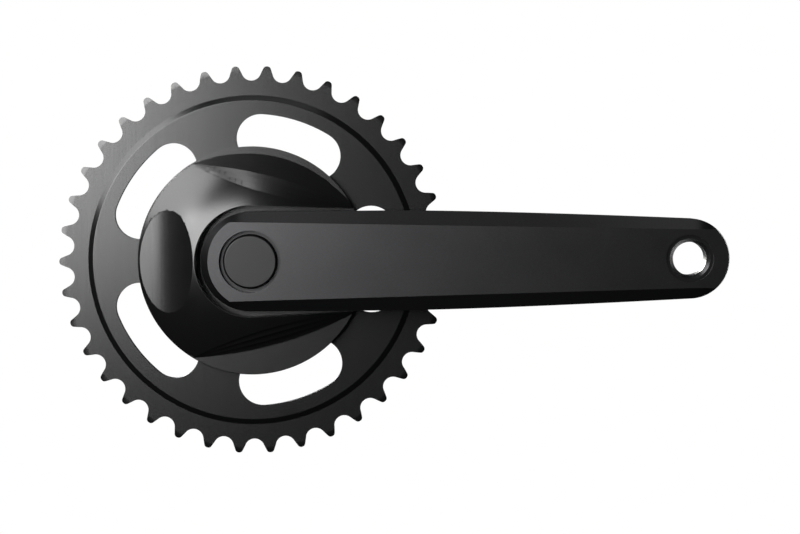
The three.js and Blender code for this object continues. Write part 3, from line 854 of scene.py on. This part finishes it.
def channel(inset):
    """The pocket round the hub, with the channel that the arm leaves by."""
    hub = turned([(pocket_radius + inset, plate_back), (pocket_radius + inset, above_all)], 128)
    past = cover_radius + 2 * MM
    wide = pocket_radius + inset
    narrow = channel_half + inset
    trace([(0, -wide), (past, -narrow), (past, narrow), (0, wide)], plate_back - MM / 20)
    extrude(above_all - plate_back)
    return join_or_cut(hub, tidy_mesh(), "UNION")


def scoop(inset):
    """A cylinder with an upright axis, whose side cuts the dome near the rim and the pocket."""
    near_rim = cover_radius - MM
    near_pocket = pocket_radius + 0.5 * MM
    run = near_rim - near_pocket
    rise = dome_at(near_rim) - dome_at(near_pocket)
    chord = math.hypot(run, rise)
    lift = math.sqrt(scoop_radius**2 - (chord / 2) ** 2)
    alone()
    bpy.ops.mesh.primitive_cylinder_add(
        vertices=512,
        radius=scoop_radius + inset,
        depth=2 * cover_radius,
        location=(
            -(near_rim + near_pocket) / 2 - lift * rise / chord,
            (dome_at(near_rim) + dome_at(near_pocket)) / 2 - lift * run / chord,
            0,
        ),
    )
    return bake_place()


crescent_start = Vector((-0.53 * cover_radius, 0.85 * cover_radius))
crescent_end = Vector((0.915 * cover_radius, 0.455 * cover_radius))
crescent_chord = crescent_end - crescent_start
crescent_out = Vector((-crescent_chord.y, crescent_chord.x)).normalized()
crescent_bows = (-3.4 * MM, -1.1 * MM, 1.3 * MM, 3.6 * MM)
crescent_heights = (7.4 * MM, 5.0 * MM, 2.6 * MM, 0)
upper_heights = (8.2 * MM, 6.8 * MM, 5.6 * MM, 4.4 * MM)
step_fall = math.radians(16)
floor_fall = math.radians(22)


def crescent_cut(bow, height, side, base, fall=step_fall):
    """Everything beyond one bowed edge and in front of its step, or of the base.

    A step arches along the chord, so that all of them meet at the rim, and falls away outwards.
    """
    points = []
    for share in spread(0, 1.0001, 28):
        point = crescent_start + share * crescent_chord
        point = point + 4 * bow * share * (1 - share) * crescent_out
        points.append((point.x, side * point.y))
    points.append((1.25 * cover_radius, side * 0.40 * cover_radius))
    points.append((1.25 * cover_radius, side * 1.4 * cover_radius))
    points.append((-0.75 * cover_radius, side * 1.4 * cover_radius))
    points.append((-0.75 * cover_radius, side * 1.10 * cover_radius))
    trace(points, base)
    extrude(above_all - base)
    cut = tidy_mesh()
    if height:
        half = crescent_chord.length / 2
        radius = (half**2 + height**2) / (2 * height)
        middle = (crescent_start + crescent_end) / 2
        middle = Vector((middle.x, base, side * middle.y))
        out = Vector((crescent_out.x, 0, side * crescent_out.y))
        inboard = Vector((0, 1, 0))
        along = out * math.cos(fall) + inboard * math.sin(fall)
        under = inboard * math.cos(fall) - out * math.sin(fall)
        alone()
        bpy.ops.mesh.primitive_cylinder_add(
            vertices=1024,
            radius=radius,
            depth=6 * cover_radius,
            location=middle + (radius - height) * under,
            rotation=along.to_track_quat("Z", "Y").to_euler(),
        )
        join_or_cut(cut, bake_place())
    return cut


cover = dome(0, cover_base, 0.7 * MM)
join_or_cut(cover, scoop(0))
for bow, height, upper_height in zip(crescent_bows, crescent_heights, upper_heights):
    fall = floor_fall if bow == crescent_bows[-1] else step_fall
    join_or_cut(cover, crescent_cut(bow, height, -1, crescent_floor))
    join_or_cut(cover, crescent_cut(bow, upper_height, 1, crescent_floor + 0.6 * MM, fall))
hollow = dome(cover_wall, cover_base + MM, 0.7 * MM)
join_or_cut(hollow, scoop(cover_wall))
join_or_cut(hollow, channel(cover_wall))
for side in (1, -1):
    thick = crescent_bows[0] - 2 * cover_wall
    join_or_cut(hollow, crescent_cut(thick, 0, side, cover_base + 2 * MM))
join_or_cut(cover, hollow)
skirt = turned(
    [
        (cover_radius - cover_wall, spider_back),
        (cover_radius - MM / 50, spider_back),
        (cover_radius - MM / 50, cover_base - 1.3 * MM),
        (cover_radius - cover_wall, cover_base - 1.3 * MM),
        (cover_radius - cover_wall, spider_back),
    ],
    256,
)
join_or_cut(cover, skirt, "UNION")
join_or_cut(cover, channel(0))
pocket_floor = turned(
    [
        (floor_bore, cover_base),
        (cover_radius - MM / 50, cover_base),
        (cover_radius - MM / 50, floor_front),
        (floor_bore, floor_front),
        (floor_bore, cover_base),
    ],
    256,
)
join_or_cut(pocket_floor, channel(0.1 * MM), "INTERSECT")
join_or_cut(cover, pocket_floor, "UNION")
round_edges(cover, 0.18 * MM, 2, 20)
fit(cover, "cover_moulding", "crank", "cover_plastic", moulded_plastic, "cover")

# ---------------------------------------------------------------------------------------------
# Dust cap: a moulded plug in the mouth of the puller's thread, satin black, with a chamfered edge
# and a shallow moulding line inside it.

cap_low, cap_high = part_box("dust_cap")
# A finely eroded mould gives a flatter, satin black than the cover has.
cap_plastic, tree, shader = new_material("black_satin_moulded_plastic")
shader.inputs["Base Color"].default_value = hex_colour("161616")
shader.inputs["IOR"].default_value = 1.5
place = add_node(tree, "ShaderNodeTexCoord").outputs["Object"]
sparks = add_node(
    tree,
    "ShaderNodeTexNoise",
    values={"Scale": 1 / (0.3 * MM), "Detail": 3.0},
    links={"Vector": place},
).outputs["Fac"]
rough = add_node(
    tree, "ShaderNodeMapRange", values={"To Min": 0.30, "To Max": 0.36}, links={"Value": sparks}
).outputs[0]
bump = add_node(
    tree,
    "ShaderNodeBump",
    values={"Strength": 0.12, "Distance": 0.03 * MM},
    links={"Height": sparks},
).outputs[0]
wire(tree, shader, {"Roughness": rough, "Normal": bump})

cap_radius = cap_high.z
cap_face = cap_low.y
cap_chamfer = 0.55 * MM
cap = turned(
    [
        (cap_radius - 1.4 * MM, cap_face + 1.6 * MM),
        (cap_radius - 1.4 * MM, cap_high.y),
        (cap_radius, cap_high.y),
        (cap_radius, cap_face + 1.6 * cap_chamfer),
        (cap_radius - 0.4 * cap_chamfer, cap_face + 0.6 * cap_chamfer),
        (cap_radius - cap_chamfer, cap_face),
    ],
    128,
)
round_edges(cap, 0.08 * MM, 2, 30)
fit(cap, "hub_cap", "crank", "cap_plastic", cap_plastic, "dust_cap")

# ---------------------------------------------------------------------------------------------
# Spider: five arms on a hub ring, machined from aluminium, blasted and anodised with the arm and
# pressed on the boss. The chainring sits behind its arms.

spider_ring = 22.3 * MM
spider_bore = 17.3 * MM
spider_inner = boss_start - 9 * MM
spider_collar = spider_bore + 1.5 * MM
collar_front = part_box("spider")[0].y
spider = turned(
    [
        (spider_bore, spider_inner),
        (spider_ring - 0.8 * MM, spider_inner),
        (spider_ring, spider_inner - 0.8 * MM),
        (spider_ring, spider_front),
        (spider_collar, spider_front),
        (spider_collar, collar_front),
        (spider_bore, collar_front),
        (spider_bore, spider_inner),
    ],
    128,
)
spider_arm_half = 6 * MM
tab_radius = 7.1 * MM
head_radius = 5.8 * MM
head_height = 1.8 * MM
tab_first, tab_last = -math.pi / 2.4, math.pi / 2.39
root_flare = 2 * MM
for i in range(arms):
    outline = [(spider_bore + root_flare, -spider_arm_half - root_flare)]
    outline += [(spider_ring + 3 * MM, -spider_arm_half), (bolt_circle - 3 * MM, -spider_arm_half)]
    for turn in spread(tab_first, tab_last, 20):
        outline.append((bolt_circle + tab_radius * math.cos(turn), tab_radius * math.sin(turn)))
    outline += [(bolt_circle - 3 * MM, spider_arm_half), (spider_ring + 3 * MM, spider_arm_half)]
    outline += [(spider_bore + root_flare, spider_arm_half + root_flare)]
    trace(outline, spider_back)
    extrude(spider_front + MM / 20 - spider_back)
    angle = 2 * math.pi * (i + 0.5) / arms
    spider_arm = turn_about_axis(tidy_mesh(), angle)
    join_or_cut(spider, spider_arm, "UNION")
    hole = turned(
        [
            (barrel_hole, spider_back + MM),
            (barrel_hole, spider_front + head_height + 0.3 * MM),
            (head_radius + 0.3 * MM, spider_front + head_height + 0.3 * MM),
            (head_radius + 0.3 * MM, spider_front - MM),
        ],
        48,
        bolt_circle * math.cos(angle),
        bolt_circle * math.sin(angle),
    )
    join_or_cut(spider, hole)
round_edges(spider, 0.35 * MM, 2, 30)
fit(spider, "spider_plate", "crank", "arm_anodised", anodised_blasted, "spider")

# ---------------------------------------------------------------------------------------------
# Chainring bolts and nuts: turned steel, zinc plated. Each bolt has a hexagon socket, and each
# sleeve nut has a slot for a driver across its flange.

# Zinc plating is pale grey with a faint crystal pattern, dulled where it was handled.
zinc_steel, tree, shader = new_material("zinc_plated_steel")
shader.inputs["Metallic"].default_value = 1.0
place = add_node(tree, "ShaderNodeTexCoord").outputs["Object"]
spangle = add_node(
    tree,
    "ShaderNodeTexVoronoi",
    values={"Scale": 1 / (1.2 * MM), "Randomness": 1.0},
    links={"Vector": place},
).outputs["Distance"]
handling = add_node(
    tree,
    "ShaderNodeTexNoise",
    values={"Scale": 1 / (2.5 * MM), "Detail": 4.0},
    links={"Vector": place},
).outputs["Fac"]
tone = add_node(
    tree,
    "ShaderNodeMix",
    {"data_type": "RGBA"},
    {6: hex_colour("9a9b9a"), 7: hex_colour("bcbdbb")},
    {0: spangle},
).outputs[2]
rough = add_node(
    tree, "ShaderNodeMapRange", values={"To Min": 0.28, "To Max": 0.45}, links={"Value": handling}
).outputs[0]
wire(tree, shader, {"Base Color": tone, "Roughness": rough})

bolt_radius = 3.9 * MM
barrel_radius = 4.8 * MM
nut_flange = 6 * MM
nut_front = plate_back + 0.3 * MM
nut_back = nut_front + 1.4 * MM
nut_bore = bolt_radius + 0.3 * MM
barrel_end = spider_front + head_height + 0.6 * MM
socket_radius = 3.3 * MM
socket_depth = 3.8 * MM
slot_size = (14 * MM, MM, 2.4 * MM)  # longer than the flange is wide
slot_turn = 0.9  # radians from one nut to the next, as tightening leaves them
for i in range(arms):
    angle = 2 * math.pi * (i + 0.5) / arms
    x, z = bolt_circle * math.cos(angle), bolt_circle * math.sin(angle)
    bolt = turned(
        [
            (bolt_radius - 0.6 * MM, plate_back + MM),
            (bolt_radius, plate_back + 0.4 * MM),
            (bolt_radius, spider_front + head_height),
            (head_radius, spider_front + head_height),
            (head_radius, spider_front + 0.5 * MM),
            (head_radius - 0.5 * MM, spider_front),
        ],
        64,
        x,
        z,
    )
    socket = turned(
        [(socket_radius, spider_front + socket_depth), (socket_radius, spider_front - MM)],
        6,
        x,
        z,
    )
    join_or_cut(bolt, socket)
    round_edges(bolt, 0.12 * MM, 2, 30)
    number = str(i + 1)
    node = "chainring_bolt_" + number
    fit(bolt, "ring_bolt_" + number, "crank", "plated_steel", zinc_steel, node)
    nut = turned(
        [
            (nut_bore, nut_back),
            (nut_flange - 0.4 * MM, nut_back),
            (nut_flange, nut_front + MM),
            (nut_flange, nut_front),
            (barrel_radius, nut_front),
            (barrel_radius, barrel_end),
            (nut_bore, barrel_end),
            (nut_bore, nut_back),
        ],
        64,
        x,
        z,
    )
    alone()
    bpy.ops.mesh.primitive_cube_add(size=1, location=(x, nut_back - 0.1 * MM, z))
    bpy.context.object.scale = slot_size
    bpy.context.object.rotation_euler = (0, -slot_turn * i, 0)
    join_or_cut(nut, bake_place())
    round_edges(nut, 0.12 * MM, 2, 30)
    node = "chainring_nut_" + number
    fit(nut, "ring_nut_" + number, "crank", "plated_steel", zinc_steel, node)

# ---------------------------------------------------------------------------------------------
# Crank bolt and its washer, under the cap: the same zinc plating as the chainring bolts.

for node in ("crank_bolt", "crank_bolt_washer"):
    frame["nodes"][node].data.materials.clear()
    frame["nodes"][node].data.materials.append(zinc_steel)

# ---------------------------------------------------------------------------------------------
# Spindle: forged steel, hardened and ground on the bearing seats, with a square taper milled at
# each end and a tapped hole for the crank bolt.

# Grinding leaves fine rings round the shaft, and a film of oil darkens the steel in patches.
ground_steel, tree, shader = new_material("ground_oiled_steel")
shader.inputs["Metallic"].default_value = 1.0
place = add_node(tree, "ShaderNodeTexCoord").outputs["Object"]
grinding = add_node(
    tree,
    "ShaderNodeTexWave",
    {"bands_direction": "Y"},
    {"Scale": 0.05 / (0.25 * MM), "Distortion": 2.5, "Detail": 3.0},
    {"Vector": place},
).outputs["Fac"]
oil = add_node(
    tree,
    "ShaderNodeTexNoise",
    values={"Scale": 1 / (5 * MM), "Detail": 3.0},
    links={"Vector": place},
).outputs["Fac"]
tone = add_node(
    tree,
    "ShaderNodeMix",
    {"data_type": "RGBA"},
    {6: hex_colour("827e77"), 7: hex_colour("a3a19c")},
    {0: oil},
).outputs[2]
rough = add_node(
    tree, "ShaderNodeMapRange", values={"To Min": 0.25, "To Max": 0.42}, links={"Value": grinding}
).outputs[0]
bump = add_node(
    tree,
    "ShaderNodeBump",
    values={"Strength": 0.08, "Distance": 0.02 * MM},
    links={"Height": grinding},
).outputs[0]
wire(tree, shader, {"Base Color": tone, "Roughness": rough, "Normal": bump})

journal = 8.5 * MM
spindle_middle = 9.6 * MM
square_corner = 8.1 * MM
journal_end = 40 * MM
shoulder_at = 21.7 * MM
spindle = turned(
    [
        (journal - 0.6 * MM, journal_end),
        (journal, journal_end - 0.6 * MM),
        (journal, shoulder_at),
        (spindle_middle, shoulder_at - 0.5 * MM),
        (spindle_middle, -shoulder_at + 0.5 * MM),
        (journal, -shoulder_at),
        (journal, -journal_end + 0.6 * MM),
        (journal - 0.6 * MM, -journal_end),
    ],
    96,
)
tap_radius = 3.4 * MM
bolt_thread = 4 * MM
mouth = 4.3 * MM
end = spindle_end
for side in (1, -1):
    taper = square_taper_piece(side * (journal_end - 1.5 * MM), side * end, 0)
    rounding = turned(
        [
            (square_corner, side * (journal_end - 3 * MM)),
            (square_corner, side * (end - 0.6 * MM)),
            (square_corner - 0.6 * MM, side * end),
            (square_corner - 0.6 * MM, side * (end + MM)),
        ],
        96,
    )
    join_or_cut(taper, rounding, "INTERSECT")
    join_or_cut(spindle, taper, "UNION")
    hole = turned(
        [
            (tap_radius, side * (end - 24 * MM)),
            (tap_radius, side * (end - 23 * MM)),
            *thread(
                bolt_thread, side * (end - 22 * MM), side * (end - 3 * MM), 1.25 * MM, 0.5 * MM
            ),
            (mouth, side * (end - 2.7 * MM)),
            (mouth, side * (end - 0.7 * MM)),
            (mouth + 0.9 * MM, side * (end + 0.2 * MM)),
        ],
        48,
    )
    join_or_cut(spindle, hole)
round_edges(spindle, 0.2 * MM, 2, 30)
fit(spindle, "axle", "crank", "spindle_steel", ground_steel, "spindle")

# ---------------------------------------------------------------------------------------------
# Bearings: ground and polished steel races, with balls in a pressed cage. They show only through
# the gaps beside the seals.

# Lapped races are almost mirrors, softened by a film of grease.
bearing_steel, tree, shader = new_material("polished_bearing_steel")
shader.inputs["Metallic"].default_value = 1.0
shader.inputs["Base Color"].default_value = hex_colour("c8cacc")
place = add_node(tree, "ShaderNodeTexCoord").outputs["Object"]
film = add_node(
    tree,
    "ShaderNodeTexNoise",
    values={"Scale": 1 / (1.5 * MM), "Detail": 3.0},
    links={"Vector": place},
).outputs["Fac"]
rough = add_node(
    tree, "ShaderNodeMapRange", values={"To Min": 0.10, "To Max": 0.22}, links={"Value": film}
).outputs[0]
wire(tree, shader, {"Roughness": rough})
for side in ("right", "left"):
    for part in ("inner_race", "outer_race", "ball_set"):
        node = frame["nodes"][side + "_" + part]
        node.data.materials.clear()
        node.data.materials.append(bearing_steel)

# ---------------------------------------------------------------------------------------------
# Sleeve and cups: the sleeve is a drawn steel tube that holds the bearings. The cups are turned
# steel, threaded outside, with notches inside their lips for the fitting tool, and both are dark
# plated.

# Dark plating shows the turning marks as fine rings, and wears a little uneven.
plated_cup, tree, shader = new_material("dark_plated_steel")
shader.inputs["Metallic"].default_value = 0.9
place = add_node(tree, "ShaderNodeTexCoord").outputs["Object"]
plating = add_node(
    tree,
    "ShaderNodeTexNoise",
    values={"Scale": 1 / (3 * MM), "Detail": 4.0},
    links={"Vector": place},
).outputs["Fac"]
turning = add_node(
    tree,
    "ShaderNodeTexWave",
    {"bands_direction": "Y"},
    {"Scale": 0.05 / (0.3 * MM), "Distortion": 1.0},
    {"Vector": place},
).outputs["Fac"]
tone = add_node(
    tree,
    "ShaderNodeMix",
    {"data_type": "RGBA"},
    {6: hex_colour("5a5b5d"), 7: hex_colour("717274")},
    {0: plating},
).outputs[2]
rough = add_node(
    tree, "ShaderNodeMapRange", values={"To Min": 0.34, "To Max": 0.48}, links={"Value": plating}
).outputs[0]
bump = add_node(
    tree,
    "ShaderNodeBump",
    values={"Strength": 0.08, "Distance": 0.02 * MM},
    links={"Height": turning},
).outputs[0]
wire(tree, shader, {"Base Color": tone, "Roughness": rough, "Normal": bump})

sleeve_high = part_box("cartridge_sleeve")[1]
sleeve_radius = sleeve_high.z
sleeve_bore = sleeve_radius - MM
sleeve_end = sleeve_high.y
crimp = 0.25 * MM
seat_length = 20 * MM
sleeve = turned(
    [
        (sleeve_bore, sleeve_end),
        (sleeve_radius - crimp, sleeve_end),
        (sleeve_radius, sleeve_end - crimp),
        (sleeve_radius, seat_length + MM),
        (sleeve_radius - crimp, seat_length),
        (sleeve_radius - crimp, -seat_length),
        (sleeve_radius, -seat_length - MM),
        (sleeve_radius, -sleeve_end + crimp),
        (sleeve_radius - crimp, -sleeve_end),
        (sleeve_bore, -sleeve_end),
        (sleeve_bore, sleeve_end),
    ],
    128,
)
round_edges(sleeve, 0.1 * MM, 2, 40)
fit(sleeve, "bearing_tube", "bottom_bracket", "cup_steel", plated_cup, "cartridge_sleeve")

thread_radius = 17.4 * MM
thread_pitch = 25.4 * MM / 24
thread_depth = 0.55 * MM
shell_face = 34 * MM
cup_bore = sleeve_radius + 0.3 * MM
lip_bore = sleeve_radius - 0.9 * MM
lip_at = sleeve_end + 0.3 * MM
notches = 20
notch_size = (1.8 * MM, 8 * MM, 1.44 * MM)


def cup(side, face, flange_radius, name, node):
    """A threaded cup on one side: -1 is the drive side."""
    inner_end = side * 19 * MM
    thread_start = inner_end + side * 0.8 * MM
    thread_stop = side * (shell_face - 1.4 * MM)
    thread_root = thread_radius - thread_depth
    profile = [
        (cup_bore, inner_end),
        (thread_root, inner_end),
        *thread(thread_radius, thread_start, thread_stop, thread_pitch, thread_depth),
        (thread_root, side * (shell_face - MM)),
    ]
    if flange_radius:
        profile += [
            (thread_root, side * shell_face),
            (flange_radius, side * shell_face),
            (flange_radius, side * (face - 0.5 * MM)),
            (flange_radius - 0.5 * MM, side * face),
        ]
    else:
        profile += [(thread_root, side * face)]
    profile += [
        (lip_bore, side * face),
        (lip_bore, side * lip_at),
        (cup_bore, side * lip_at),
        (cup_bore, inner_end),
    ]
    made = turned(profile, 128)
    for i in range(notches):
        angle = 2 * math.pi * i / notches
        alone()
        bpy.ops.mesh.primitive_cube_add(size=1, location=(lip_bore, side * (lip_at + 3 * MM), 0))
        bpy.context.object.scale = notch_size
        join_or_cut(made, turn_about_axis(bake_place(), angle))
    round_edges(made, 0.1 * MM, 2, 40)
    return fit(made, name, "bottom_bracket", "cup_steel", plated_cup, node)


cup(-1, 36.8 * MM, 20.2 * MM, "drive_side_cup", "right_cup")
cup(1, 34.6 * MM, 0, "far_side_cup", "left_cup")

# ---------------------------------------------------------------------------------------------
# Seals: moulded rubber rings with a ribbed lip, pressed into the sleeve outside each bearing.

# Rubber is matt, with a slightly paler bloom.
seal_rubber, tree, shader = new_material("moulded_black_rubber")
shader.inputs["Base Color"].default_value = hex_colour("1c1c1c")
place = add_node(tree, "ShaderNodeTexCoord").outputs["Object"]
bloom = add_node(
    tree,
    "ShaderNodeTexNoise",
    values={"Scale": 1 / (1.0 * MM), "Detail": 4.0},
    links={"Vector": place},
).outputs["Fac"]
rough = add_node(
    tree, "ShaderNodeMapRange", values={"To Min": 0.6, "To Max": 0.8}, links={"Value": bloom}
).outputs[0]
bump = add_node(
    tree,
    "ShaderNodeBump",
    values={"Strength": 0.15, "Distance": 0.05 * MM},
    links={"Height": bloom},
).outputs[0]
wire(tree, shader, {"Roughness": rough, "Normal": bump})

seal_outer = sleeve_bore - 0.3 * MM
seal_inner = 8.8 * MM
seal_near = 29.3 * MM
seal_far = 30.9 * MM
for side, name in ((-1, "right"), (1, "left")):
    near, far = side * seal_near, side * seal_far
    dip = side * 0.5 * MM
    seal = turned(
        [
            (seal_inner, near),
            (seal_outer, near),
            (seal_outer, far),
            (seal_outer - 1.2 * MM, far),
            (seal_outer - 1.8 * MM, far - dip),
            (seal_inner + 2.2 * MM, far - dip),
            (seal_inner + 1.6 * MM, far),
            (seal_inner + 0.9 * MM, far),
            (seal_inner + 0.6 * MM, far - dip),
            (seal_inner, far - dip),
            (seal_inner, near),
        ],
        96,
    )
    round_edges(seal, 0.08 * MM, 2, 30)
    fit(seal, name + "_lip_seal", "bottom_bracket", "seal_rubber", seal_rubber, name + "_seal")
